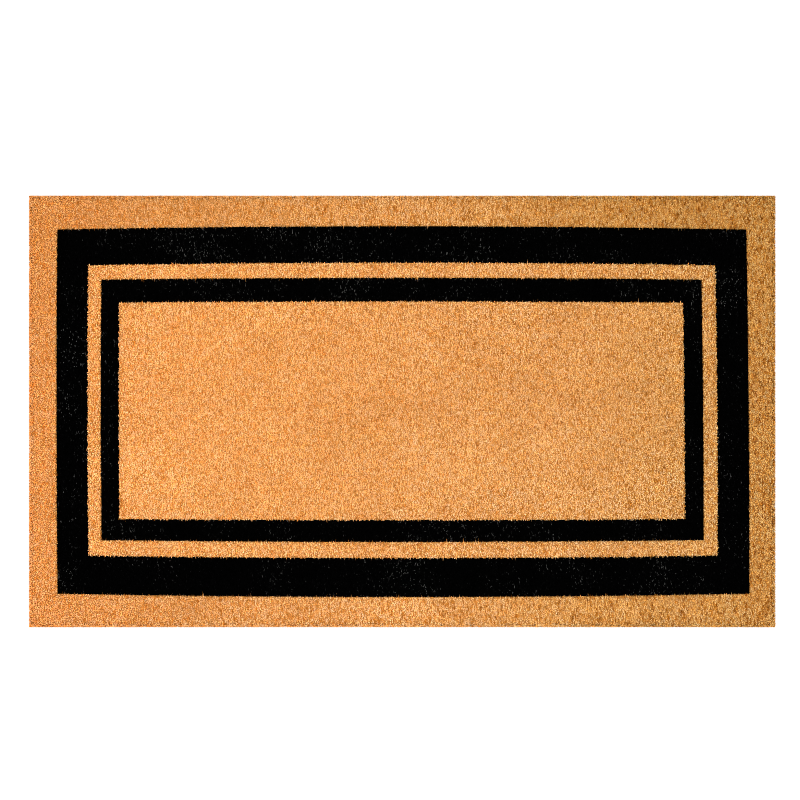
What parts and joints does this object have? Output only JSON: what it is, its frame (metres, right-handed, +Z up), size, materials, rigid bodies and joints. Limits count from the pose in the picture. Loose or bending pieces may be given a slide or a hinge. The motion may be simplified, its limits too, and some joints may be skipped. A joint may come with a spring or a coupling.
{
  "type": "door mat",
  "caption": "Flat rectangular coir door mat: a dense fibre pile with a printed dark frame, fused into a thin vinyl backing.",
  "frame": {"origin": "on the floor, under the centre of the mat", "axes": "+X along the long side, +Y across the mat, +Z up through the pile"},
  "size_m": [0.737, 0.426, 0.015],
  "materials": {
    "vinyl": "matt dark vinyl with a fine moulded grain underneath",
    "natural_coir": "dry golden-brown coconut fibre, cut pile, each fibre a slightly different tone",
    "black_coir": "coconut fibre printed matt black, with a few paler strays"
  },
  "bodies": {
    "root": {"vinyl_backing": "vinyl", "border_pile": "natural_coir", "outer_band_pile": "black_coir", "middle_band_pile": "natural_coir", "inner_band_pile": "black_coir", "centre_pile": "natural_coir"}
  },
  "joints": []
}
